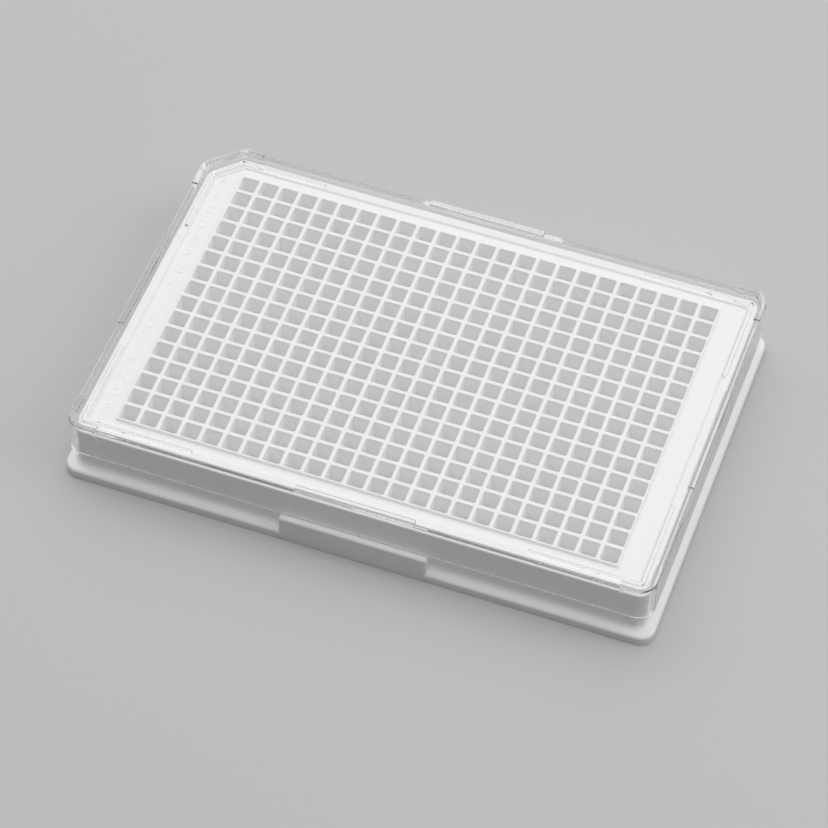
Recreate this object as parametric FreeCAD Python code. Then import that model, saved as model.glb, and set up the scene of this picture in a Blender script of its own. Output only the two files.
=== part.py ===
import FreeCAD, Part
import math
import os

from FreeCAD import Vector

# A microplate of 24 x 16 square wells moulded in one piece, and the clear lid that rests on it.
# Millimetres. Long side along X, height along Z, base on z = 0, origin under the middle.
# The first well, A1, is at -X and +Y. That corner of the plate's body and of the lid is cut off.

os.makedirs("parts", exist_ok=True)

# Wells: square, tapered, with a closed floor
WELL_PITCH = 4.50
WELL_COLUMNS = 24
WELL_ROWS = 16
WELL_TOP = 3.65
WELL_FLOOR = 3.30

# Heights above the base: the well block's top and the underside of the wells
PLATE_HEIGHT = 14.40
SPACE_UNDER_WELLS = 1.80
WELL_BOTTOM_THICKNESS = 1.10
WELL_BLOCK_SKIN = 0.70

# Deck round the well block: a shallow trough and a rim, which ends at the body's outside
END_MARGIN = 7.475
SIDE_MARGIN = 4.60
RIM_DROP = 0.25
RIM_WIDTH = 2.05
TROUGH_DEPTH = 0.50
TROUGH_SLOPE = 0.30
TROUGH_RADIUS = 0.90
DECK_THICKNESS = 1.40

# Body above the flange; its outline is measured at the top of the rim
BODY_RADIUS = 2.20
BODY_WALL = 1.40
BODY_INNER_RADIUS = 0.80
BODY_EDGE_CHAMFER = 0.35
DRAFT_ANGLE = 0.50

# Cut corner beside well A1, measured along each side of the body
CORNER_CUT = 6.20
CORNER_CUT_RADIUS = 1.60

# Base flange: a low ledge all round, with a rounded outer edge and a sloping root
END_LEDGE = 2.405
SIDE_LEDGE = 2.14
FOOTPRINT_RADIUS = 3.18
FLANGE_HEIGHT = 2.41
FLANGE_EDGE_RADIUS = 0.70
FLANGE_ROOT_CHAMFER = 0.80
FLANGE_WALL = 1.50
FLANGE_ROOF = 1.15

# Grip pad: the flat middle of each long side, flush with the footprint
PAD_LENGTH = 32.00
PAD_HEIGHT = 6.85
PAD_EDGE_RADIUS = 0.60

# Stiffening ribs under the deck, between the well block and the body wall
RIB_THICKNESS = 1.00
LONG_SIDE_RIBS = 4
LONG_SIDE_RIB_SPACING = 27.00
SHORT_SIDE_RIBS = 4
SHORT_SIDE_RIB_SPACING = 18.00

# Lid: a shallow tray turned upside down over the body, whose skirt ends above the grip pads
LID_CLEARANCE = 0.45
LID_WALL = 1.10
LID_THICKNESS = 1.10
LID_ABOVE_PAD = 0.85
LID_EDGE_RADIUS = 0.50

# Stacking ridges on the lid: one at each corner and one at the middle of each side
RIDGE_HEIGHT = 0.60
RIDGE_WIDTH = 1.35
RIDGE_INSET = 0.15
RIDGE_LONG_SIDE = 25.70
RIDGE_SHORT_SIDE = 26.60
RIDGE_CORNER_X = 7.10
RIDGE_CORNER_Y = 7.90
RIDGE_CUT_CORNER_X = 11.90
RIDGE_CUT_CORNER_Y = 13.30

# Seat ribs under the lid: an L at each corner that stands on the body's rim
SEAT_RIB_HEIGHT = 0.95
SEAT_RIB_WIDTH = 0.80
SEAT_RIB_MARGIN = 0.10
SEAT_RIB_RADIUS = 0.30
SEAT_GAP_LONG_SIDE = 72.00
SEAT_GAP_SHORT_SIDE = 36.00

# Centring ribs inside the lid's long skirts
CENTRING_RIB_WIDTH = 1.00
CENTRING_RIB_DEPTH = 0.30
CENTRING_RIB_HEIGHT = 3.00
CENTRING_RIB_FROM_END = 5.00
CENTRING_RIB_FROM_CUT = 5.20

# How far a cutting or joining shape runs past the face that it meets
OVERRUN = 1.00

EPSILON = 1e-4

# Sizes worked out from the ones above, from the wells outwards
BLOCK_LENGTH = WELL_COLUMNS * WELL_PITCH
BLOCK_WIDTH = WELL_ROWS * WELL_PITCH
BODY_LENGTH = BLOCK_LENGTH + 2 * END_MARGIN
BODY_WIDTH = BLOCK_WIDTH + 2 * SIDE_MARGIN
FOOTPRINT_LENGTH = BODY_LENGTH + 2 * END_LEDGE
FOOTPRINT_WIDTH = BODY_WIDTH + 2 * SIDE_LEDGE
RIM_HEIGHT = PLATE_HEIGHT - RIM_DROP
TROUGH_HEIGHT = RIM_HEIGHT - TROUGH_DEPTH
LID_SKIRT_BOTTOM = PAD_HEIGHT + LID_ABOVE_PAD
LID_UNDERSIDE = RIM_HEIGHT + SEAT_RIB_HEIGHT
LID_TOP = LID_UNDERSIDE + LID_THICKNESS


def rounded_loop(corners, radii, z):
    """Closed wire at height z through the corners, each rounded by its own radius."""
    arcs = []
    count = len(corners)
    for index in range(count):
        corner = Vector(*corners[index], z)
        back = (Vector(*corners[index - 1], z) - corner).normalize()
        ahead = (Vector(*corners[(index + 1) % count], z) - corner).normalize()
        half_angle = back.getAngle(ahead) / 2
        reach = radii[index] / math.tan(half_angle)
        inward = (back + ahead).normalize()
        middle = corner + inward * (radii[index] / math.sin(half_angle) - radii[index])
        arcs.append((corner + back * reach, middle, corner + ahead * reach))
    edges = []
    for index, (start, middle, end) in enumerate(arcs):
        following = arcs[(index + 1) % count][0]
        edges.append(Part.Arc(start, middle, end).toShape())
        edges.append(Part.LineSegment(end, following).toShape())
    return Part.Wire(edges)


def footprint_loop(grow, z):
    """Outline of the base flange, grown outwards by grow, at height z."""
    x = FOOTPRINT_LENGTH / 2 + grow
    y = FOOTPRINT_WIDTH / 2 + grow
    corners = [(-x, -y), (x, -y), (x, y), (-x, y)]
    return rounded_loop(corners, [FOOTPRINT_RADIUS + grow] * 4, z)


def body_loop(grow, radius, cut_radius, z):
    """Outline of the body with its cut corner, grown outwards by grow, at height z."""
    x = BODY_LENGTH / 2 + grow
    y = BODY_WIDTH / 2 + grow
    cut = CORNER_CUT + grow * (2 - math.sqrt(2))
    corners = [(-x, -y), (x, -y), (x, y), (-x + cut, y), (-x, y - cut)]
    return rounded_loop(corners, [radius, radius, radius, cut_radius, cut_radius], z)


def upright(loop, top):
    """Solid with upright sides from a level outline to height top."""
    return Part.Face(loop).extrude(Vector(0, 0, top - loop.BoundBox.ZMin))


def sloping(lower, upper):
    """Solid with straight sides between two level outlines."""
    return Part.makeLoft([lower, upper], True, True)


def outer_loop(grow, z):
    """Body's outline with its own corner radii grown by the same amount as the sides."""
    return body_loop(grow, BODY_RADIUS + grow, CORNER_CUT_RADIUS + grow, z)


def drafted_body(grow, bottom, top):
    """Body grown by grow, whose walls lean in by the draft angle as they rise.

    The outline keeps its size at the top of the rim, so it grows with the distance below the rim.
    """
    lean = math.tan(math.radians(DRAFT_ANGLE))
    lower = outer_loop(grow + (RIM_HEIGHT - bottom) * lean, bottom)
    upper = outer_loop(grow + (RIM_HEIGHT - top) * lean, top)
    return sloping(lower, upper)


def centred_box(length, width, bottom, top):
    """Box round the Z axis, from height bottom to height top."""
    corner = Vector(-length / 2, -width / 2, bottom)
    return Part.makeBox(length, width, top - bottom, corner)


def edges_at(shape, z):
    """Edges of the shape that lie level at height z."""
    return [edge for edge in shape.Edges
            if abs(edge.BoundBox.ZMin - z) < EPSILON and abs(edge.BoundBox.ZMax - z) < EPSILON]


def flange():
    """Base flange with its rounded outer edge."""
    slab = upright(footprint_loop(0, 0), FLANGE_HEIGHT)
    return slab.makeFillet(FLANGE_EDGE_RADIUS, edges_at(slab, FLANGE_HEIGHT))


def grip_pad(side):
    """Flat pad in the middle of one long side, flush with the footprint; side is -1 or 1."""
    depth = SIDE_LEDGE + BODY_WALL
    centre = side * (FOOTPRINT_WIDTH - depth) / 2
    pad = centred_box(PAD_LENGTH, depth, 0, PAD_HEIGHT)
    outer = [edge for edge in pad.Edges if edge.BoundBox.ZMax > EPSILON
             and edge.BoundBox.YMin * side + edge.BoundBox.YMax * side > depth - EPSILON]
    pad = pad.makeFillet(PAD_EDGE_RADIUS, outer)
    pad.translate(Vector(0, centre, 0))
    return pad


def outside():
    """Everything inside the plate's outer surfaces, before it is hollowed."""
    body = drafted_body(0, 0, RIM_HEIGHT)
    body = body.makeChamfer(BODY_EDGE_CHAMFER, edges_at(body, RIM_HEIGHT))
    shape = flange().fuse(body)
    shelf_x = FOOTPRINT_LENGTH / 2 - FLANGE_EDGE_RADIUS - EPSILON
    shelf_y = FOOTPRINT_WIDTH / 2 - FLANGE_EDGE_RADIUS - EPSILON
    root = [edge for edge in edges_at(shape, FLANGE_HEIGHT)
            if edge.BoundBox.XMax < shelf_x and edge.BoundBox.XMin > -shelf_x
            and edge.BoundBox.YMax < shelf_y and edge.BoundBox.YMin > -shelf_y]
    shape = shape.makeChamfer(FLANGE_ROOT_CHAMFER, root)
    return shape.fuse([grip_pad(-1), grip_pad(1)])


def underdeck_ribs():
    """Thin upright ribs across the channel between the well block and the outer walls."""
    ribs = []
    for index in range(LONG_SIDE_RIBS):
        x = (index - (LONG_SIDE_RIBS - 1) / 2) * LONG_SIDE_RIB_SPACING
        rib = centred_box(RIB_THICKNESS, FOOTPRINT_WIDTH, SPACE_UNDER_WELLS, PLATE_HEIGHT)
        ribs.append(rib.translated(Vector(x, 0, 0)))
    for index in range(SHORT_SIDE_RIBS):
        y = (index - (SHORT_SIDE_RIBS - 1) / 2) * SHORT_SIDE_RIB_SPACING
        rib = centred_box(FOOTPRINT_LENGTH, RIB_THICKNESS, SPACE_UNDER_WELLS, PLATE_HEIGHT)
        ribs.append(rib.translated(Vector(0, y, 0)))
    return ribs


def hollow():
    """Space under the plate, open below, round the well block and its ribs."""
    flange_space = upright(footprint_loop(-FLANGE_WALL, -OVERRUN), FLANGE_HEIGHT - FLANGE_ROOF)
    inner = body_loop(-BODY_WALL, BODY_INNER_RADIUS, BODY_INNER_RADIUS, -OVERRUN)
    body_space = upright(inner, TROUGH_HEIGHT - DECK_THICKNESS)
    pad_space = centred_box(PAD_LENGTH - 2 * FLANGE_WALL, FOOTPRINT_WIDTH - 2 * FLANGE_WALL,
                            -OVERRUN, PAD_HEIGHT - FLANGE_ROOF)
    block = centred_box(BLOCK_LENGTH + 2 * WELL_BLOCK_SKIN, BLOCK_WIDTH + 2 * WELL_BLOCK_SKIN,
                        SPACE_UNDER_WELLS, PLATE_HEIGHT)
    return body_space.fuse([flange_space, pad_space]).cut([block] + underdeck_ribs())


def trough_loop(grow, z):
    """Outline of the trough, whose mouth lies at the rim's inner edge, grown by grow."""
    radius = TROUGH_RADIUS + grow
    return body_loop(grow - RIM_WIDTH, radius, radius, z)


def trough():
    """Shallow trough between the rim and the raised well block, with sloping sides."""
    space = sloping(trough_loop(-TROUGH_SLOPE, TROUGH_HEIGHT), trough_loop(0, RIM_HEIGHT))
    return space.cut(centred_box(BLOCK_LENGTH, BLOCK_WIDTH, 0, PLATE_HEIGHT))


def wells():
    """One tapered square well, repeated over the grid."""
    bottom = SPACE_UNDER_WELLS + WELL_BOTTOM_THICKNESS
    low = WELL_FLOOR / 2
    high = WELL_TOP / 2
    well = Part.makeWedge(-low, bottom, -low, -high, -high, low, PLATE_HEIGHT, low, high, high)
    well.rotate(Vector(0, 0, 0), Vector(1, 0, 0), 90)
    copies = []
    for column in range(WELL_COLUMNS):
        for row in range(WELL_ROWS):
            x = (column - (WELL_COLUMNS - 1) / 2) * WELL_PITCH
            y = ((WELL_ROWS - 1) / 2 - row) * WELL_PITCH
            copies.append(well.translated(Vector(x, y, 0)))
    return copies


def plate():
    """The whole plate: its outside, raised block, trough, underside and wells."""
    raised = centred_box(BLOCK_LENGTH, BLOCK_WIDTH, RIM_HEIGHT - OVERRUN, PLATE_HEIGHT)
    shape = outside().fuse(raised).cut([trough(), hollow()])
    return shape.cut(wells()).removeSplitter()


def corner_blocks(reach_x, reach_y, cut_reach_x, cut_reach_y, outer_grow, bottom, top):
    """Blocks over the four corners of an outline; the cut corner has reaches of its own."""
    x = BODY_LENGTH / 2 + outer_grow + OVERRUN
    y = BODY_WIDTH / 2 + outer_grow + OVERRUN
    blocks = []
    for side_x, side_y in ((-1, -1), (1, -1), (1, 1), (-1, 1)):
        is_cut = side_x < 0 < side_y
        length = (cut_reach_x if is_cut else reach_x) + OVERRUN
        width = (cut_reach_y if is_cut else reach_y) + OVERRUN
        block = centred_box(length, width, bottom, top)
        block.translate(Vector(side_x * (x - length / 2), side_y * (y - width / 2), 0))
        blocks.append(block)
    return blocks


def stacking_ridges():
    """Raised bars along the lid's outer edge, in the corners and mid-sides only."""
    grow = LID_CLEARANCE + LID_WALL
    bottom = LID_TOP - LID_THICKNESS / 2
    top = LID_TOP + RIDGE_HEIGHT
    band = upright(outer_loop(grow - RIDGE_INSET, bottom), top)
    band = band.cut(upright(outer_loop(grow - RIDGE_INSET - RIDGE_WIDTH, bottom), top))
    places = corner_blocks(RIDGE_CORNER_X, RIDGE_CORNER_Y, RIDGE_CUT_CORNER_X,
                           RIDGE_CUT_CORNER_Y, grow, bottom, top)
    places.append(centred_box(RIDGE_LONG_SIDE, 2 * FOOTPRINT_WIDTH, bottom, top))
    places.append(centred_box(2 * FOOTPRINT_LENGTH, RIDGE_SHORT_SIDE, bottom, top))
    return [band.common(place) for place in places]


def seat_ribs():
    """L-shaped ribs under the lid that stand on the body's rim near its corners."""
    inner_grow = SEAT_RIB_MARGIN - RIM_WIDTH
    outer_grow = inner_grow + SEAT_RIB_WIDTH
    outer_radius = SEAT_RIB_RADIUS + SEAT_RIB_WIDTH
    top = LID_UNDERSIDE + LID_THICKNESS / 2
    band = upright(body_loop(outer_grow, outer_radius, outer_radius, RIM_HEIGHT), top)
    inner = body_loop(inner_grow, SEAT_RIB_RADIUS, SEAT_RIB_RADIUS, RIM_HEIGHT)
    band = band.cut(upright(inner, top))
    reach_x = (BODY_LENGTH - SEAT_GAP_LONG_SIDE) / 2 + outer_grow
    reach_y = (BODY_WIDTH - SEAT_GAP_SHORT_SIDE) / 2 + outer_grow
    places = corner_blocks(reach_x, reach_y, reach_x, reach_y, outer_grow, RIM_HEIGHT, top)
    return [band.common(place) for place in places]


def centring_ribs():
    """Short upright ribs inside the long skirts, which keep the lid central on the body."""
    bottom = LID_UNDERSIDE - CENTRING_RIB_HEIGHT
    top = LID_UNDERSIDE + LID_THICKNESS / 2
    depth = CENTRING_RIB_DEPTH + LID_WALL / 2
    reach = BODY_WIDTH / 2 + LID_CLEARANCE + LID_WALL / 2
    near_end = BODY_LENGTH / 2 - CENTRING_RIB_FROM_END
    near_cut = BODY_LENGTH / 2 - CORNER_CUT - CENTRING_RIB_FROM_CUT
    ribs = []
    for x, side in ((-near_end, -1), (near_end, -1), (near_end, 1), (-near_cut, 1)):
        rib = centred_box(CENTRING_RIB_WIDTH, depth, bottom, top)
        ribs.append(rib.translated(Vector(x, side * (reach - depth / 2), 0)))
    return ribs


def lid():
    """The lid: top and skirt in one tray, with its ridges above and its ribs inside."""
    tray = drafted_body(LID_CLEARANCE + LID_WALL, LID_SKIRT_BOTTOM, LID_TOP)
    tray = tray.makeFillet(LID_EDGE_RADIUS, edges_at(tray, LID_TOP))
    tray = tray.cut(drafted_body(LID_CLEARANCE, LID_SKIRT_BOTTOM - OVERRUN, LID_UNDERSIDE))
    return tray.fuse(stacking_ridges() + seat_ribs() + centring_ribs()).removeSplitter()


def write(name, shape):
    """Save one finished solid as its own part file."""
    solid = shape.Solids[0]
    print(name, "solids", len(shape.Solids), "valid", solid.isValid(),
          "volume", round(solid.Volume, 1), "faces", len(solid.Faces), "box", solid.BoundBox)
    solid.exportStep("parts/" + name + ".step")


write("plate", plate())
write("lid", lid())
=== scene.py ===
import math

import bmesh
import bpy
import numpy as np
from mathutils import Matrix, Vector


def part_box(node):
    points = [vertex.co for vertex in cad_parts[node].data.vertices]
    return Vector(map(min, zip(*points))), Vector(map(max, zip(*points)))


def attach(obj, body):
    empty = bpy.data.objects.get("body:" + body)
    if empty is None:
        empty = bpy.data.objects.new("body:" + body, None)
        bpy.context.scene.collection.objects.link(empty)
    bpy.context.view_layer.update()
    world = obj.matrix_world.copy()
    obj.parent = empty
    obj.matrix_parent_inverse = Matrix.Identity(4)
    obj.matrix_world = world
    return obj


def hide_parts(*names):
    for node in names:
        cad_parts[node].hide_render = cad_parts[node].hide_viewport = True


# A white microplate of 24 x 16 square wells with its clear lid resting on it.
# Shapes are worked out in millimetres in the frame's own axes and stored in metres.

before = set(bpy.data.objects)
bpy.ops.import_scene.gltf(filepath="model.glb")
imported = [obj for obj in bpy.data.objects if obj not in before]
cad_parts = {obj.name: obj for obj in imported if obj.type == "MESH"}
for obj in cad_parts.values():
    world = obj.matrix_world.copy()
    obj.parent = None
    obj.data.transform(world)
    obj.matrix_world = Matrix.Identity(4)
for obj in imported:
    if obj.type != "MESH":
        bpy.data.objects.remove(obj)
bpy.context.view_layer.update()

MM = 0.001
plate_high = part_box("plate")[1]
lid_low, lid_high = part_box("lid")

# Overall sizes, from the frame
FOOT_X = plate_high.x / MM
FOOT_Y = plate_high.y / MM
PLATE_TOP = plate_high.z / MM
SKIRT_BOTTOM = lid_low.z / MM
RIDGE_TOP = lid_high.z / MM

# Wells
WELL_PITCH = 4.5
WELL_COLUMNS = 24
WELL_ROWS = 16
WELL_MOUTH = 3.65
WELL_FLOOR = 3.30
WELL_FLOOR_Z = 2.90
WELL_CORNER = 0.30
WELL_FLOOR_CORNER = 0.20
WELL_RIM_ROUNDING = 0.12

# Well block, trough and rim
BLOCK_X = WELL_COLUMNS * WELL_PITCH / 2
BLOCK_Y = WELL_ROWS * WELL_PITCH / 2
BLOCK_EDGE = 0.12
BLOCK_UNDERSIDE = 1.80
BLOCK_SKIN = 0.70
RIM_DROP = 0.25
RIM_WIDTH = 2.05
RIM_ROUNDING = 0.50
TROUGH_DEPTH = 0.50
TROUGH_SLOPE = 0.30
TROUGH_RADIUS = 0.90
DECK_THICKNESS = 1.40

# Body, flange and grip pads
END_LEDGE = 2.405
SIDE_LEDGE = 2.14
BODY_RADIUS = 2.20
BODY_WALL = 1.40
BODY_INNER_RADIUS = 0.80
DRAFT_ANGLE = 0.50
CORNER_CUT = 6.20
CUT_RADIUS = 1.60
FOOT_RADIUS = 3.18
FLANGE_HEIGHT = 2.41
FLANGE_EDGE = 0.70
FLANGE_ROOT = 1.20
FLANGE_WALL = 1.50
FLANGE_ROOF = 1.15
BOTTOM_BEVEL = 0.12
PAD_HALF = 16.00
PAD_HEIGHT = 6.85
PAD_EDGE = 0.60
RIB_HALF = 0.50
LONG_SIDE_RIBS = (-40.5, -13.5, 13.5, 40.5)
SHORT_SIDE_RIBS = (-27.0, -9.0, 9.0, 27.0)

# Lid
LID_GAP = 0.45
LID_WALL = 1.10
LID_THICKNESS = 1.10
LID_EDGE = 0.50
LID_INNER_FILLET = 0.30
SKIRT_EDGE = 0.05
RIDGE_HEIGHT = 0.60
RIDGE_WIDTH = 1.35
RIDGE_INSET = 0.15
RIDGE_EDGE = 0.08
RIDGE_LONG_HALF = 12.85
RIDGE_SHORT_HALF = 13.30
RIDGE_CORNER_X = 7.10
RIDGE_CORNER_Y = 7.90
RIDGE_CUT_X = 11.90
RIDGE_CUT_Y = 13.30
RIDGE_END = 0.12
RIDGE_END_LIFT = 0.80
SEAT_GAP_X = 36.00
SEAT_GAP_Y = 18.00
SEAT_MARGIN = 0.10
SEAT_WIDTH = 0.80
SEAT_EDGE = 0.04
SEAT_ROOT = 0.04
SEAT_LIFT = 0.02
NUB_HALF = 0.50
NUB_DEPTH = 0.30
NUB_HEIGHT = 3.00
NUB_FROM_END = 5.00
NUB_FROM_CUT = 5.20

# Row letters on the left of the trough
LETTER_X = -57.2
LETTER_SIZE = 3.2
LETTER_RELIEF = 0.12

# Camera at the photograph's angle, with angles in degrees and lengths in millimetres
VIEW_AZIMUTH = 17.984
VIEW_ELEVATION = 51.053
VIEW_ROLL = 1.984
VIEW_TARGET = (2.90, -13.61, 14.92)
VIEW_DISTANCE = 767.77
SENSOR_WIDTH = 36.0
FOCAL_LENGTH = 162.54

# Floor: its side in metres
FLOOR_SIDE = 3.0

# Studio light: the sky's tone low down and overhead, and the height at which it starts to rise
SKY_LOW = 0.15
SKY_HIGH = 0.82
SKY_RISE_FROM = 0.35

# Softboxes: place and side in metres, power in watts. All face the middle of the plate.
SOFTBOXES = {"softbox_back": ((-0.152, 0.48, 0.624), 1.0, 2.0),
             "softbox_front": ((0.10, -0.25, 0.90), 0.4, 0.45),
             "softbox_right": ((0.60, 0.10, 0.45), 0.5, 1.2),
             "softbox_left": ((-0.60, 0.10, 0.45), 0.5, 0.55)}

# Worked out from the sizes above
BODY_X = FOOT_X - END_LEDGE
BODY_Y = FOOT_Y - SIDE_LEDGE
RIM_Z = PLATE_TOP - RIM_DROP
TROUGH_Z = RIM_Z - TROUGH_DEPTH
LID_TOP = RIDGE_TOP - RIDGE_HEIGHT
LID_UNDERSIDE = LID_TOP - LID_THICKNESS
LID_GROW = LID_GAP + LID_WALL
LEAN = math.tan(math.radians(DRAFT_ANGLE))
TAN_EIGHTH = math.tan(math.pi / 8)
CUT_START_X = -BODY_X + CORNER_CUT + CUT_RADIUS * TAN_EIGHTH
CUT_END_Y = BODY_Y - CORNER_CUT - CUT_RADIUS * TAN_EIGHTH

# Legs of a walk round the plate, anticlockwise seen from above; the cut corner takes three
(FRONT, FRONT_RIGHT, RIGHT, BACK_RIGHT, BACK,
 CUT_IN, CUT_ACROSS, CUT_OUT, LEFT, FRONT_LEFT) = range(10)
FAR = 999.0
NUDGE = 1e-4
CORNER_STEPS = 8
ROUNDING_ROWS = 5

# How far in a small rounding has come at 45 degrees, as a share of its radius
MIDWAY = 0.29

# Distance from a rounding of the row that keeps the flat face beside it evenly shaded
HOLD = 0.30

# Millimetres: a surface's points nearer than MERGE become one, and so do the letters' nearer than
# TINY. A surface's edges shorter than TINY are dropped.
MERGE = 0.002
TINY = 0.001


class Walk:
    """Stations once round the plate: the leg, the place on it and the probe that flags read.

    On a side the place is an x or y in millimetres; in a corner it is a share of the turn.
    """

    def __init__(self, along_x, along_y):
        """Joins the ten legs: places along x and y on the sides, even shares in the corners."""
        turn = np.arange(1, CORNER_STEPS) / CORNER_STEPS
        whole = np.arange(0, CORNER_STEPS + 1) / CORNER_STEPS
        legs = [along_x, turn, along_y, turn, along_x[::-1],
                turn, whole, turn, along_y[::-1], turn]
        self.leg = np.concatenate([np.full(len(p), leg) for leg, p in enumerate(legs)])
        self.probe = np.concatenate(legs)
        self.place = self.probe.round(3)

    def on(self, *legs):
        """Flags of the stations that lie on any of the legs."""
        return np.isin(self.leg, legs)

    def snapped(self, step):
        """The same walk with every place on a side moved to the nearest multiple of step."""
        other = Walk.__new__(Walk)
        other.leg, other.probe, other.place = self.leg, self.probe, self.place.copy()
        sides = self.on(FRONT, RIGHT, BACK, LEFT)
        other.place[sides] = (self.place[sides] / step).round() * step
        return other


def side_places(plain, breaks):
    """Places along a side: each plain one once, each break just before and just after it.

    One more lies far beyond each end, and the outlines hold it at the start of the corner.
    """
    plain, breaks = np.array(plain, float), np.array(breaks, float)
    ends = np.array([-FAR, FAR])
    return np.sort(np.concatenate([plain, breaks - NUDGE, breaks + NUDGE, ends]))


def mirrored(places):
    """The places and their opposites."""
    return sorted(set(places) | set(-p for p in places))


def arc_points(centre_x, centre_y, radius, degrees):
    """Points on a circle: the centre plus the radius times the cosine and sine of each angle."""
    angle = np.radians(degrees)
    return np.stack([centre_x + radius * np.cos(angle), centre_y + radius * np.sin(angle)], -1)


def between(start, end, share):
    """Points on a straight run: the start plus each share of the way to the end."""
    return np.array(start) + (np.array(end) - np.array(start)) * share[:, None]


def sides_and_corners(walk, half_x, half_y, radius, back_end, left_end):
    """Rounded rectangle apart from its corner at -x, +y, as one x, y row for each station.

    A side's point is its place held within the straight run, and a corner's point is the
    corner's centre plus the radius, turned by the share of a right angle.
    """
    points = np.zeros((len(walk.leg), 2))
    run_x, run_y = half_x - radius, half_y - radius
    for leg, low, high, fixed, axis in ((FRONT, -run_x, run_x, -half_y, 0),
                                        (RIGHT, -run_y, run_y, half_x, 1),
                                        (BACK, back_end, run_x, half_y, 0),
                                        (LEFT, -run_y, left_end, -half_x, 1)):
        here = walk.on(leg)
        points[here, axis] = np.clip(walk.place[here], low, high)
        points[here, 1 - axis] = fixed
    for leg, x, y, first in ((FRONT_RIGHT, run_x, -run_y, -90), (BACK_RIGHT, run_x, run_y, 0),
                             (FRONT_LEFT, -run_x, -run_y, 180)):
        here = walk.on(leg)
        points[here] = arc_points(x, y, radius, first + 90 * walk.place[here])
    return points


def body_outline(walk, grow, radius=None):
    """Body's outline grown by grow, with the corner at -x, +y cut off at 45 degrees.

    The cut corner is an eighth of a turn, a straight run and another eighth of a turn.
    """
    least = 0.1
    square = max(BODY_RADIUS + grow, least) if radius is None else radius
    small = max(CUT_RADIUS + grow, least) if radius is None else radius
    half_x, half_y = BODY_X + grow, BODY_Y + grow
    cut = CORNER_CUT + grow * (2 - math.sqrt(2))
    back_end = -half_x + cut + small * TAN_EIGHTH
    left_end = half_y - cut - small * TAN_EIGHTH
    points = sides_and_corners(walk, half_x, half_y, square, back_end, left_end)
    entry, across, leaving = walk.on(CUT_IN), walk.on(CUT_ACROSS), walk.on(CUT_OUT)
    points[entry] = arc_points(back_end, half_y - small, small, 90 + 45 * walk.place[entry])
    points[leaving] = arc_points(-half_x + small, left_end, small,
                                 135 + 45 * walk.place[leaving])
    start = arc_points(back_end, half_y - small, small, 135)
    end = arc_points(-half_x + small, left_end, small, 135)
    points[across] = between(start, end, walk.place[across])
    return points


def plain_outline(walk, half_x, half_y, radius):
    """Rounded rectangle; its corner at -x, +y is a straight run, a quarter turn and a run."""
    back_end = max(CUT_START_X, -half_x + radius)
    left_end = min(CUT_END_Y, half_y - radius)
    points = sides_and_corners(walk, half_x, half_y, radius, back_end, left_end)
    entry, across, leaving = walk.on(CUT_IN), walk.on(CUT_ACROSS), walk.on(CUT_OUT)
    run_x, run_y = half_x - radius, half_y - radius
    points[entry] = between((back_end, half_y), (-run_x, half_y), walk.place[entry])
    points[across] = arc_points(-run_x, run_y, radius, 90 + 90 * walk.place[across])
    points[leaving] = between((-half_x, run_y), (-half_x, left_end), walk.place[leaving])
    return points


def foot_outline(walk, grow):
    """Outline of the base flange, grown by grow."""
    return plain_outline(walk, FOOT_X + grow, FOOT_Y + grow, FOOT_RADIUS + grow)


def block_outline(walk, grow):
    """Well block's outline; its corner at -x, +y takes every station of the cut corner."""
    half_x, half_y = BLOCK_X + grow, BLOCK_Y + grow
    points = sides_and_corners(walk, half_x, half_y, 0, -half_x, half_y)
    points[walk.on(CUT_IN, CUT_ACROSS, CUT_OUT)] = (-half_x, half_y)
    return points


def level(points, z):
    """Row of x, y, z points; z is one height or one for each station."""
    return np.column_stack([points, np.broadcast_to(z, len(points))])


def leaning(walk, grow, z):
    """Body's outline at height z: it grows by the draft for each millimetre below the rim."""
    return level(body_outline(walk, grow + (RIM_Z - z) * LEAN), z)


def carried(rows):
    """Quads between neighbouring rows, each row closing on itself. Returns points and faces."""
    count = len(rows[0])
    row = np.arange(len(rows) - 1)[:, None] * count
    here = np.arange(count)[None, :]
    ahead = (here + 1) % count
    quads = np.stack([row + here, row + ahead, row + count + ahead, row + count + here], -1)
    return np.vstack(rows), quads.reshape(-1, 4)


def shape_from(name, parts, sharp_degrees=50):
    """One closed mesh object from lists of points in millimetres and faces.

    Points that coincide are merged, empty faces dropped and the normals turned outwards.
    """
    points, faces, base = [], [], 0
    for part_points, *face_sets in parts:
        points.append(part_points)
        for face_set in face_sets:
            faces += (np.asarray(face_set) + base).tolist()
        base += len(part_points)
    mesh = bpy.data.meshes.new(name)
    mesh.from_pydata((np.vstack(points) * MM).tolist(), [], faces)
    work = bmesh.new()
    work.from_mesh(mesh)
    bmesh.ops.remove_doubles(work, verts=work.verts, dist=MERGE * MM)
    bmesh.ops.dissolve_degenerate(work, edges=work.edges, dist=TINY * MM)
    bmesh.ops.recalc_face_normals(work, faces=work.faces)
    work.to_mesh(mesh)
    work.free()
    mesh.shade_smooth()
    mesh.set_sharp_from_angle(angle=math.radians(sharp_degrees))
    piece = bpy.data.objects.new(name, mesh)
    bpy.context.scene.collection.objects.link(piece)
    shading = piece.modifiers.new("even_shading", "WEIGHTED_NORMAL")
    shading.keep_sharp = True
    return piece


def square_ring(half, radius):
    """Rounded square of 12 points: three on each corner's quarter turn, anticlockwise."""
    turns = np.array([0, 45, 90])
    corners = ((1, 1, 0), (-1, 1, 90), (-1, -1, 180), (1, -1, 270))
    return np.vstack([arc_points(x * (half - radius), y * (half - radius), radius, first + turns)
                      for x, y, first in corners])


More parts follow.
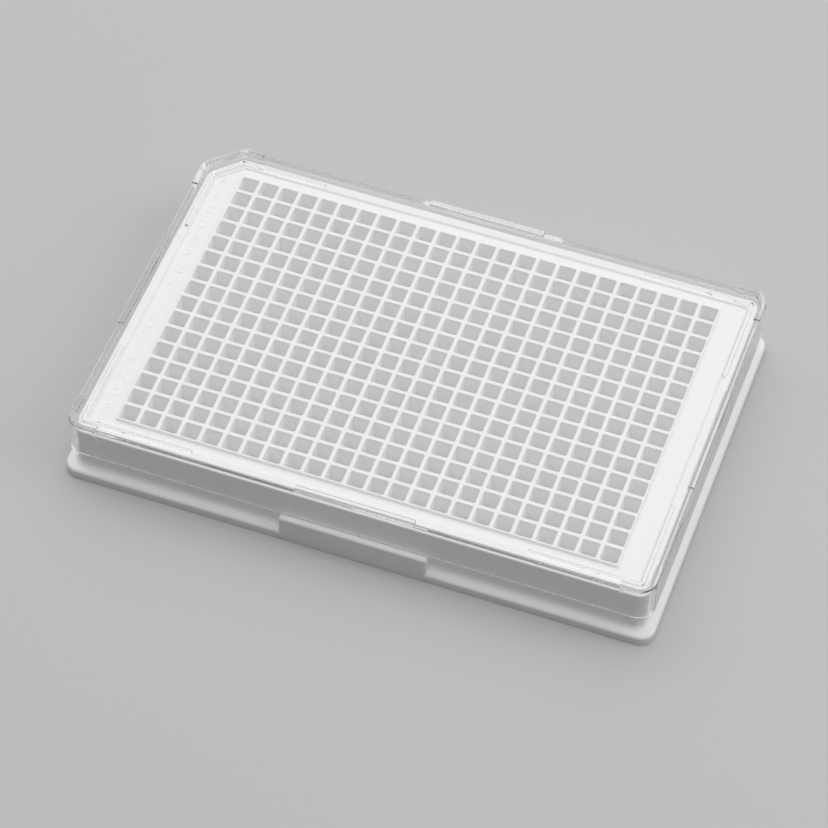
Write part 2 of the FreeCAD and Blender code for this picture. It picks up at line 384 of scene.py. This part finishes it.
def well_cells():
    """All wells with the square of deck round each: one cell's points shifted over the grid.

    A cell is the four corners of its square, then rings of 12 points that go round the rim's
    small rounding and down the tapered wall to the floor.
    """
    mouth, floor, edge = WELL_MOUTH / 2, WELL_FLOOR / 2, WELL_RIM_ROUNDING
    rings = ((mouth + edge, WELL_CORNER + edge, PLATE_TOP),
             (mouth + MIDWAY * edge, WELL_CORNER + MIDWAY * edge, PLATE_TOP - MIDWAY * edge),
             (mouth, WELL_CORNER, PLATE_TOP - edge),
             (floor, WELL_FLOOR_CORNER, WELL_FLOOR_Z))
    half = WELL_PITCH / 2
    square = np.array([(half, half), (-half, half), (-half, -half), (half, -half)])
    cell = np.vstack([level(square, PLATE_TOP)]
                     + [level(square_ring(size, radius), z) for size, radius, z in rings])
    quarter = np.arange(4)
    after = (quarter + 1) % 4
    ring = 4 + 3 * quarter
    fans = np.vstack([np.column_stack([quarter, ring, ring + 1]),
                      np.column_stack([quarter, ring + 1, ring + 2])])
    strips = np.column_stack([quarter, ring + 2, 4 + 3 * after, after])
    around = np.arange(12)
    onward = (around + 1) % 12
    walls = np.vstack([np.column_stack([around, onward, onward + 12, around + 12]) + 4 + 12 * k
                       for k in range(len(rings) - 1)])
    base = (around + 4 + 12 * (len(rings) - 1))[None, :]
    column, row = np.meshgrid(np.arange(WELL_COLUMNS), np.arange(WELL_ROWS), indexing="ij")
    centres = np.stack([(column - (WELL_COLUMNS - 1) / 2) * WELL_PITCH,
                        (row - (WELL_ROWS - 1) / 2) * WELL_PITCH,
                        np.zeros_like(column)], -1).reshape(-1, 1, 3)
    points = (cell[None] + centres).reshape(-1, 3)
    deck = np.isclose(points[:, 2], PLATE_TOP)
    inset = np.array([BLOCK_X, BLOCK_Y]) - BLOCK_EDGE
    points[deck, :2] = np.clip(points[deck, :2], -inset, inset)
    shift = (np.arange(len(centres)) * len(cell))[:, None, None]
    return [points] + [(faces[None] + shift).reshape(-1, faces.shape[1])
                       for faces in (fans, strips, walls, base)]


def plate_walk():
    """Stations for the plate: the well grid, and both sides of each rib, pad and hollow."""
    ribs_x = [rib + side * RIB_HALF for rib in LONG_SIDE_RIBS for side in (-1, 1)]
    ribs_y = [rib + side * RIB_HALF for rib in SHORT_SIDE_RIBS for side in (-1, 1)]
    grid_x = np.arange(WELL_COLUMNS + 1) * WELL_PITCH - BLOCK_X
    grid_y = np.arange(WELL_ROWS + 1) * WELL_PITCH - BLOCK_Y
    turn = np.sin(np.radians((0, 22.5, 45, 67.5)))
    pad_corner = list(PAD_HALF - PAD_EDGE + PAD_EDGE * turn) + [PAD_HALF - 3 * NUDGE]
    hollow = PAD_HALF - FLANGE_WALL
    plain_x = sorted(set(grid_x) | set(mirrored(pad_corner)))
    breaks_x = ribs_x + mirrored([hollow, PAD_HALF])
    return Walk(side_places(plain_x, breaks_x), side_places(grid_y, ribs_y))


def plate_outside(walk):
    """Rows of the plate's outside, from the block's edge out over the rim and down to the base.

    The block is given as growth and height, and the trough's slope as growth and share of its
    depth. The grip pads take columns of their own below the pad's top: there each row is pushed
    out to the pad's rounded plan, or to the flange where that stands further out.
    """
    grid = walk.snapped(WELL_PITCH)
    edge = BLOCK_EDGE
    block = [(-edge, PLATE_TOP), (-0.3 * edge, PLATE_TOP - 0.3 * edge), (0, PLATE_TOP - edge),
             (0, TROUGH_Z + edge), (edge, TROUGH_Z)]
    rows = [level(block_outline(grid, grow), z) for grow, z in block]
    slope = [(-TROUGH_SLOPE - 0.1, 0), (-0.85 * TROUGH_SLOPE, 0.12), (-0.15 * TROUGH_SLOPE, 0.88),
             (0.1, 1)]
    rows += [level(body_outline(walk, grow - RIM_WIDTH, TROUGH_RADIUS + grow),
                   TROUGH_Z + share * TROUGH_DEPTH) for grow, share in slope]
    turn = np.radians(np.linspace(0, 90, ROUNDING_ROWS))
    rows += [level(body_outline(walk, -RIM_ROUNDING - HOLD / 2), RIM_Z)]
    rows += [leaning(walk, RIM_ROUNDING * (math.sin(angle) - 1),
                     RIM_Z - RIM_ROUNDING * (1 - math.cos(angle))) for angle in turn]
    rows += [leaning(walk, 0, PAD_HEIGHT + HOLD)]

    on_pad = walk.on(FRONT, BACK) & (abs(walk.probe) < PAD_HALF)
    at_wall = on_pad & (abs(walk.probe) > PAD_HALF - 2 * NUDGE)
    side_x, side_y = np.sign(walk.place), np.where(walk.on(FRONT), -1, 1)
    core_x, core_y = PAD_HALF - PAD_EDGE, FOOT_Y - PAD_EDGE
    across = np.clip((abs(walk.place) - core_x) / PAD_EDGE, 0, 1)
    outwards = np.sqrt(1 - across ** 2)

    def padded_row(row, reach, radius):
        """The row with its pad columns moved out to the pad's plan at this height."""
        flange_y = abs(row[:, 1])
        pad_x = side_x * (np.minimum(abs(walk.place), core_x) + radius * across)
        bulge = reach * core_y + radius * outwards
        pad_y = np.where(at_wall, flange_y, np.maximum(bulge, flange_y))
        row = row.copy()
        row[on_pad, 0] = pad_x[on_pad]
        row[on_pad, 1] = (side_y * pad_y)[on_pad]
        return row

    rows.append(padded_row(leaning(walk, 0, PAD_HEIGHT), 0, 0))
    for angle in turn:
        z = PAD_HEIGHT - PAD_EDGE * (1 - math.cos(angle))
        rows.append(padded_row(leaning(walk, 0, z), 1, PAD_EDGE * math.sin(angle)))
    root_top = FLANGE_HEIGHT + FLANGE_ROOT
    rows.append(padded_row(leaning(walk, 0, root_top + HOLD), 1, PAD_EDGE))
    root_lean = (RIM_Z - root_top) * LEAN
    for angle in turn:
        grow = root_lean + FLANGE_ROOT * (1 - math.cos(angle))
        z = FLANGE_HEIGHT + FLANGE_ROOT * (1 - math.sin(angle))
        rows.append(padded_row(level(body_outline(walk, grow), z), 1, PAD_EDGE))
    for angle in turn:
        grow = FLANGE_EDGE * (math.sin(angle) - 1)
        z = FLANGE_HEIGHT - FLANGE_EDGE * (1 - math.cos(angle))
        rows.append(padded_row(level(foot_outline(walk, grow), z), 1, PAD_EDGE))
    rows.append(padded_row(level(foot_outline(walk, 0), BOTTOM_BEVEL), 1, PAD_EDGE))
    rows.append(padded_row(level(foot_outline(walk, -BOTTOM_BEVEL), 0), 1, PAD_EDGE - BOTTOM_BEVEL))
    return rows


def plate_underside(walk):
    """Rows of the hollow underside: flange wall, flange or pad roof, body wall, deck and block.

    In a rib's columns no point is higher than the block's underside, which fills the rib.
    """
    near_rib_x = np.min([abs(walk.probe - rib) for rib in LONG_SIDE_RIBS], axis=0) < RIB_HALF
    near_rib_y = np.min([abs(walk.probe - rib) for rib in SHORT_SIDE_RIBS], axis=0) < RIB_HALF
    rib = (walk.on(FRONT, BACK) & near_rib_x) | (walk.on(RIGHT, LEFT) & near_rib_y)
    in_pad = walk.on(FRONT, BACK) & (abs(walk.probe) < PAD_HALF - FLANGE_WALL)
    flange_roof = FLANGE_HEIGHT - FLANGE_ROOF
    pad_roof = PAD_HEIGHT - FLANGE_ROOF
    roof = np.where(in_pad, pad_roof, flange_roof)
    deck = TROUGH_Z - DECK_THICKNESS
    flange = foot_outline(walk, -FLANGE_WALL)
    wall = body_outline(walk, -BODY_WALL, BODY_INNER_RADIUS)
    block = plain_outline(walk, BLOCK_X + BLOCK_SKIN, BLOCK_Y + BLOCK_SKIN, 0)
    steps = [(flange, 0), (flange, np.minimum(roof, flange_roof)),
             (flange, np.minimum(roof, BLOCK_UNDERSIDE)), (flange, roof),
             (wall, roof), (wall, np.maximum(roof, BLOCK_UNDERSIDE)),
             (wall, np.maximum(roof, pad_roof)), (wall, deck),
             (block, deck), (block, BLOCK_UNDERSIDE)]
    return [level(outline, np.where(rib, np.minimum(z, BLOCK_UNDERSIDE), z))
            for outline, z in steps]


def make_plate():
    """The white plate: skin of carried rows, one face under the block, and the wells on top."""
    walk = plate_walk()
    points, quads = carried(plate_outside(walk) + plate_underside(walk))
    last_row = np.arange(len(points) - len(walk.leg), len(points))[None, :]
    return shape_from("white_plate", [[points, quads, last_row], well_cells()])


def ridge_lift(walk):
    """Share of the stacking ridge's height at each station: 0 outside, 1 inside, less at its end."""
    reach_x, reach_y = BODY_X + LID_GROW, BODY_Y + LID_GROW
    along, beside = walk.probe, abs(walk.probe)
    middle_x, middle_y = RIDGE_LONG_HALF - beside, RIDGE_SHORT_HALF - beside
    corner_x, corner_y = beside - (reach_x - RIDGE_CORNER_X), beside - (reach_y - RIDGE_CORNER_Y)
    cut_x = -along - (reach_x - RIDGE_CUT_X)
    cut_y = along - (reach_y - RIDGE_CUT_Y)
    inside = np.full(len(along), FAR)
    front, right, back, left = (walk.on(leg) for leg in (FRONT, RIGHT, BACK, LEFT))
    inside[front] = np.maximum(middle_x, corner_x)[front]
    inside[right] = np.maximum(middle_y, corner_y)[right]
    inside[back] = np.maximum(middle_x, np.where(along > 0, corner_x, cut_x))[back]
    inside[left] = np.maximum(middle_y, np.where(along < 0, corner_y, cut_y))[left]
    return np.where(inside < 0, 0, np.where(inside < RIDGE_END / 2, RIDGE_END_LIFT, 1))


def nub_centres():
    """Centres of the centring nubs along the long skirts, by leg."""
    near_end = BODY_X - NUB_FROM_END
    near_cut = BODY_X - CORNER_CUT - NUB_FROM_CUT
    return {FRONT: (-near_end, near_end), BACK: (-near_cut, near_end)}


def lid_walk():
    """Stations for the lid: both sides of each end of the ridges, seat ribs and nubs.

    A soft place lies RIDGE_END inside a ridge, where its height is full again.
    """
    reach_x, reach_y = BODY_X + LID_GROW, BODY_Y + LID_GROW
    ends_x = [RIDGE_LONG_HALF, reach_x - RIDGE_CORNER_X, reach_x - RIDGE_CUT_X]
    ends_y = [RIDGE_SHORT_HALF, reach_y - RIDGE_CORNER_Y, reach_y - RIDGE_CUT_Y]
    soft_x, soft_y = [[ends[0] - RIDGE_END] + [end + RIDGE_END for end in ends[1:]]
                      for ends in (ends_x, ends_y)]
    nubs = [centre + side * NUB_HALF for leg in nub_centres().values()
            for centre in leg for side in (-1, 1)]
    breaks_x = mirrored([round(p, 3) for p in ends_x + [SEAT_GAP_X] + nubs])
    breaks_y = mirrored([round(p, 3) for p in ends_y + [SEAT_GAP_Y]])
    return Walk(side_places([0] + mirrored(soft_x), breaks_x),
                side_places([0] + mirrored(soft_y), breaks_y))


def lid_top_rows(walk):
    """Rows from the flat top over the ridge or the plain edge, down to the skirt.

    Each pair gives growth and height above the top for a plain column and for a ridge column.
    They part at the ridge's foot and meet again on the lid's rounded edge. The flat is how far in
    the first row lies, and the foot is how far before and up the ridge its two lowest rows lie.
    """
    inner = LID_GROW - RIDGE_INSET - RIDGE_WIDTH
    outer = LID_GROW - RIDGE_INSET
    start = LID_GROW - LID_EDGE
    meet = math.degrees(math.asin((outer - start) / LID_EDGE))
    bite = MIDWAY * RIDGE_EDGE
    flat, foot = 0.65, 0.09

    def edge(degrees):
        """Growth and height on the lid's rounded edge, turned down by degrees from its top."""
        angle = math.radians(degrees)
        return start + LID_EDGE * math.sin(angle), -LID_EDGE * (1 - math.cos(angle))

    pairs = [((inner - flat, 0), (inner - flat, 0)),
             ((inner - foot, 0), (inner - foot, 0)),
             ((inner, 0), (inner, foot)),
             ((inner + 0.05, 0), (inner, RIDGE_HEIGHT - RIDGE_EDGE)),
             ((inner + 0.2, 0), (inner + bite, RIDGE_HEIGHT - bite)),
             ((inner + 0.4, 0), (inner + RIDGE_EDGE, RIDGE_HEIGHT)),
             ((start - 0.25, 0), (outer - RIDGE_EDGE, RIDGE_HEIGHT)),
             ((start - 0.1, 0), (outer - bite, RIDGE_HEIGHT - bite)),
             (edge(0), (outer, RIDGE_HEIGHT - RIDGE_EDGE)),
             (edge(meet / 2), (outer, 0.2))]
    pairs += [(edge(degrees), edge(degrees)) for degrees in (meet, 60, 75, 90)]
    lift = ridge_lift(walk)
    rows = []
    for (plain_grow, plain_height), (ridge_grow, ridge_height) in pairs:
        plain = leaning(walk, plain_grow, LID_TOP)
        ridge = leaning(walk, ridge_grow, LID_TOP)
        raised = ridge_height * np.where(ridge_height > 0, lift, 1)
        row = np.where((lift > 0)[:, None], ridge, plain)
        row[:, 2] += np.where(lift > 0, raised, plain_height)
        rows.append(row)
    return rows


def lid_skirt_rows(walk):
    """Rows down the skirt, round its bottom edge and up inside, with the nubs standing in."""
    bite = MIDWAY * SKIRT_EDGE
    bottom = SKIRT_BOTTOM
    rows = [leaning(walk, LID_GROW, LID_TOP - LID_EDGE - 0.4)]
    rows += [leaning(walk, grow, bottom + rise) for grow, rise in (
        (LID_GROW, SKIRT_EDGE + HOLD), (LID_GROW, SKIRT_EDGE), (LID_GROW - bite, bite),
        (LID_GROW - SKIRT_EDGE, 0), (LID_GAP + SKIRT_EDGE, 0), (LID_GAP + bite, bite),
        (LID_GAP, SKIRT_EDGE), (LID_GAP, SKIRT_EDGE + HOLD))]
    nub = np.zeros(len(walk.leg), bool)
    for leg, centres in nub_centres().items():
        for centre in centres:
            nub |= walk.on(leg) & (abs(walk.probe - centre) < NUB_HALF)
    nub_bottom = LID_UNDERSIDE - NUB_HEIGHT
    fillet = LID_INNER_FILLET
    steps = [(LID_GAP, nub_bottom, False), (LID_GAP, nub_bottom, True),
             (LID_GAP, LID_UNDERSIDE - fillet, True)]
    steps += [(LID_GAP - fillet * (1 - math.cos(angle)),
               LID_UNDERSIDE - fillet * (1 - math.sin(angle)), True)
              for angle in np.radians((30, 60, 90))]
    for grow, z, with_nub in steps:
        row = leaning(walk, grow, z)
        if with_nub:
            pulled = leaning(walk, min(grow, LID_GAP - NUB_DEPTH), z)
            row = np.where(nub[:, None], pulled, row)
        rows.append(row)
    return rows


def lid_inner_rows(walk):
    """Rows of the underside of the top, with the seat ribs that stand on the plate's rim."""
    seat = ((walk.on(FRONT, BACK) & (abs(walk.probe) > SEAT_GAP_X))
            | (walk.on(RIGHT, LEFT) & (abs(walk.probe) > SEAT_GAP_Y))
            | ~walk.on(FRONT, RIGHT, BACK, LEFT))
    inner = SEAT_MARGIN - RIM_WIDTH
    outer = inner + SEAT_WIDTH
    foot = RIM_Z + SEAT_LIFT
    top = LID_UNDERSIDE
    edge, root = SEAT_EDGE, SEAT_ROOT
    steps = ((outer + HOLD, top), (outer + root, top), (outer, top - root), (outer, foot + edge),
             (outer - edge, foot), (inner + edge, foot), (inner, foot + edge),
             (inner, top - root), (inner - root, top), (inner - 0.5, top))
    return [level(body_outline(walk, grow), np.where(seat, z, top)) for grow, z in steps]


def make_lid():
    """The clear lid: one closed skin from the middle of its top round to the underside."""
    walk = lid_walk()
    rows = lid_top_rows(walk) + lid_skirt_rows(walk) + lid_inner_rows(walk)
    points, quads = carried(rows)
    first_row = np.arange(len(walk.leg))[None, :]
    last_row = first_row + len(points) - len(walk.leg)
    return shape_from("clear_lid", [[points, quads, first_row, last_row]])


def make_row_letters():
    """Raised letters A to P on the trough's left, one centred on each row of wells."""
    meshes = bmesh.new()
    for row in range(WELL_ROWS):
        text = bpy.data.curves.new("row_letter", "FONT")
        text.body = chr(ord("A") + row)
        text.size = LETTER_SIZE * MM
        text.align_x = "CENTER"
        text.align_y = "CENTER"
        text.extrude = LETTER_RELIEF * MM
        holder = bpy.data.objects.new("row_letter", text)
        bpy.context.scene.collection.objects.link(holder)
        bpy.context.view_layer.update()
        letter = bpy.data.meshes.new_from_object(holder)
        y = ((WELL_ROWS - 1) / 2 - row) * WELL_PITCH
        letter.transform(Matrix.Translation(Vector((LETTER_X, y, TROUGH_Z)) * MM))
        meshes.from_mesh(letter)
        bpy.data.objects.remove(holder)
    bmesh.ops.remove_doubles(meshes, verts=meshes.verts, dist=TINY * MM)
    bmesh.ops.recalc_face_normals(meshes, faces=meshes.faces)
    mesh = bpy.data.meshes.new("row_letters")
    meshes.to_mesh(mesh)
    meshes.free()
    piece = bpy.data.objects.new("row_letters", mesh)
    bpy.context.scene.collection.objects.link(piece)
    return piece


def moulded_surface_group():
    """Slow flow shading and a fine grain of a moulded face, both as values from 0 to 1."""
    group = bpy.data.node_groups.new("moulded_surface", "ShaderNodeTree")
    group.interface.new_socket("Vector", in_out="INPUT", socket_type="NodeSocketVector")
    for name in ("Flow Scale", "Grain Scale"):
        group.interface.new_socket(name, in_out="INPUT", socket_type="NodeSocketFloat")
    for name in ("Flow", "Grain"):
        group.interface.new_socket(name, in_out="OUTPUT", socket_type="NodeSocketFloat")
    nodes, links = group.nodes, group.links
    entry, leaving = nodes.new("NodeGroupInput"), nodes.new("NodeGroupOutput")
    for name, detail in (("Flow", 2.0), ("Grain", 4.0)):
        noise = nodes.new("ShaderNodeTexNoise")
        noise.inputs["Detail"].default_value = detail
        links.new(entry.outputs["Vector"], noise.inputs["Vector"])
        links.new(entry.outputs[name + " Scale"], noise.inputs["Scale"])
        links.new(noise.outputs["Fac"], leaving.inputs[name])
    return group


def new_material(name, group, flow_scale, grain_scale, bump_strength, bump_distance):
    """A material with the moulded surface group and a bump from its grain already in place.

    The scales are in noise cells for each metre, and the bump's distance is in millimetres.
    """
    material = bpy.data.materials.new(name)
    material.use_nodes = True
    nodes, links = material.node_tree.nodes, material.node_tree.links
    shader = nodes["Principled BSDF"]
    place = nodes.new("ShaderNodeTexCoord")
    surface = nodes.new("ShaderNodeGroup")
    surface.node_tree = group
    surface.inputs["Flow Scale"].default_value = flow_scale
    surface.inputs["Grain Scale"].default_value = grain_scale
    links.new(place.outputs["Object"], surface.inputs["Vector"])
    bump = nodes.new("ShaderNodeBump")
    bump.inputs["Strength"].default_value = bump_strength
    bump.inputs["Distance"].default_value = bump_distance * MM
    links.new(surface.outputs["Grain"], bump.inputs["Height"])
    links.new(bump.outputs["Normal"], shader.inputs["Normal"])
    return material, shader, surface


def ranged(material, value, low, high):
    """The value from 0 to 1 spread over low to high."""
    spread = material.node_tree.nodes.new("ShaderNodeMapRange")
    spread.inputs["To Min"].default_value = low
    spread.inputs["To Max"].default_value = high
    material.node_tree.links.new(value, spread.inputs["Value"])
    return spread.outputs["Result"]


def blended(material, value, first, second):
    """Colour that runs from first to second with the value."""
    mix = material.node_tree.nodes.new("ShaderNodeMix")
    mix.data_type = "RGBA"
    mix.inputs["A"].default_value = (*first, 1)
    mix.inputs["B"].default_value = (*second, 1)
    material.node_tree.links.new(value, mix.inputs["Factor"])
    return mix.outputs["Result"]


def white_polystyrene(group):
    """Opaque white, satin, with slight changes of tone where the melt flowed."""
    darker, lighter = (0.945, 0.945, 0.945), (0.965, 0.965, 0.965)
    smoothest, roughest = 0.36, 0.46
    material, shader, surface = new_material("white_polystyrene", group, flow_scale=60,
                                             grain_scale=1400, bump_strength=0.15,
                                             bump_distance=0.01)
    links = material.node_tree.links
    flow = surface.outputs["Flow"]
    links.new(blended(material, flow, darker, lighter), shader.inputs["Base Color"])
    links.new(ranged(material, flow, smoothest, roughest), shader.inputs["Roughness"])
    shader.inputs["IOR"].default_value = 1.55
    return material


def clear_polystyrene(group):
    """Clear and polished, faintly wavy. Lamp rays and soft light pass straight through it."""
    material, shader = new_material("clear_polystyrene", group, flow_scale=35, grain_scale=180,
                                    bump_strength=0.05, bump_distance=0.02)[:2]
    nodes, links = material.node_tree.nodes, material.node_tree.links
    shader.inputs["Base Color"].default_value = (0.97, 0.973, 0.973, 1)
    shader.inputs["Transmission Weight"].default_value = 1.0
    shader.inputs["IOR"].default_value = 1.59
    shader.inputs["Roughness"].default_value = 0.0
    path = nodes.new("ShaderNodeLightPath")
    passing = nodes.new("ShaderNodeMath")
    passing.operation = "MAXIMUM"
    links.new(path.outputs["Is Shadow Ray"], passing.inputs[0])
    links.new(path.outputs["Is Diffuse Ray"], passing.inputs[1])
    open_air = nodes.new("ShaderNodeBsdfTransparent")
    mix = nodes.new("ShaderNodeMixShader")
    links.new(passing.outputs["Value"], mix.inputs["Fac"])
    links.new(shader.outputs["BSDF"], mix.inputs[1])
    links.new(open_air.outputs["BSDF"], mix.inputs[2])
    links.new(mix.outputs["Shader"], nodes["Material Output"].inputs["Surface"])
    return material


def pale_floor():
    """Plain pale floor. Soft light that it sends back is weaker, so low faces keep their shade."""
    seen, bounced = (0.60, 0.60, 0.60), (0.2, 0.2, 0.2)
    bpy.ops.mesh.primitive_plane_add(size=FLOOR_SIDE, location=(0, 0, 0))
    floor = bpy.context.object
    floor.name = "floor"
    material = bpy.data.materials.new("floor")
    material.use_nodes = True
    nodes, links = material.node_tree.nodes, material.node_tree.links
    shader = nodes["Principled BSDF"]
    shader.inputs["Roughness"].default_value = 0.6
    shader.inputs["Specular IOR Level"].default_value = 0.2
    path = nodes.new("ShaderNodeLightPath")
    tone = blended(material, path.outputs["Is Diffuse Ray"], seen, bounced)
    links.new(tone, shader.inputs["Base Color"])
    floor.data.materials.append(material)


def softbox(name, place, side, power):
    """Square area light aimed at the middle of the plate."""
    light = bpy.data.lights.new(name, "AREA")
    light.shape = "SQUARE"
    light.size = side
    light.energy = power
    lamp = bpy.data.objects.new(name, light)
    lamp.location = place
    lamp.rotation_euler = (Vector(place) * -1).to_track_quat("-Z", "Y").to_euler()
    bpy.context.scene.collection.objects.link(lamp)


def studio_light():
    """Softboxes under a grey sky that rises to near white overhead, by the direction's height."""
    world = bpy.data.worlds.new("studio")
    world.use_nodes = True
    nodes, links = world.node_tree.nodes, world.node_tree.links
    direction = nodes.new("ShaderNodeTexCoord")
    parts = nodes.new("ShaderNodeSeparateXYZ")
    tone = nodes.new("ShaderNodeMapRange")
    tone.inputs["From Min"].default_value = SKY_RISE_FROM
    tone.inputs["To Min"].default_value = SKY_LOW
    tone.inputs["To Max"].default_value = SKY_HIGH
    links.new(direction.outputs["Object"], parts.inputs["Vector"])
    links.new(parts.outputs["Z"], tone.inputs["Value"])
    links.new(tone.outputs["Result"], nodes["Background"].inputs["Color"])
    nodes["Background"].inputs["Strength"].default_value = 1.0
    bpy.context.scene.world = world
    for name, (place, side, power) in SOFTBOXES.items():
        softbox(name, place, side, power)


def light_paths():
    """Lets light bounce often enough for the deep white wells and the clear lid's thick edges."""
    paths = bpy.context.scene.cycles
    paths.max_bounces = 80
    paths.diffuse_bounces = 16
    paths.glossy_bounces = 64
    paths.transmission_bounces = 16


def photo_camera():
    """Camera at the photograph's angle: azimuth and elevation of the view, and a slight roll."""
    azimuth, elevation, roll = map(math.radians, (VIEW_AZIMUTH, VIEW_ELEVATION, VIEW_ROLL))
    target = Vector(VIEW_TARGET) * MM
    distance = VIEW_DISTANCE * MM
    back = Vector((math.sin(azimuth) * math.cos(elevation),
                   -math.cos(azimuth) * math.cos(elevation), math.sin(elevation)))
    level_right = Vector((math.cos(azimuth), math.sin(azimuth), 0))
    level_up = back.cross(level_right)
    right = level_right * math.cos(roll) + level_up * math.sin(roll)
    up = level_up * math.cos(roll) - level_right * math.sin(roll)
    data = bpy.data.cameras.new("camera")
    data.sensor_width = SENSOR_WIDTH
    data.lens = FOCAL_LENGTH
    camera = bpy.data.objects.new("camera", data)
    turn = Matrix((right, up, back)).transposed().to_4x4()
    camera.matrix_world = Matrix.Translation(target + back * distance) @ turn
    bpy.context.scene.collection.objects.link(camera)
    bpy.context.scene.camera = camera


bpy.context.scene.view_settings.view_transform = "Standard"

surface_group = moulded_surface_group()
white = white_polystyrene(surface_group)
clear = clear_polystyrene(surface_group)

plate = make_plate()
plate.data.materials.append(white)
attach(plate, "root")
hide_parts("plate")

letters = make_row_letters()
letters.data.materials.append(white)
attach(letters, "root")

lid = make_lid()
lid.data.materials.append(clear)
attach(lid, "root")
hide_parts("lid")

pale_floor()
studio_light()
light_paths()
photo_camera()
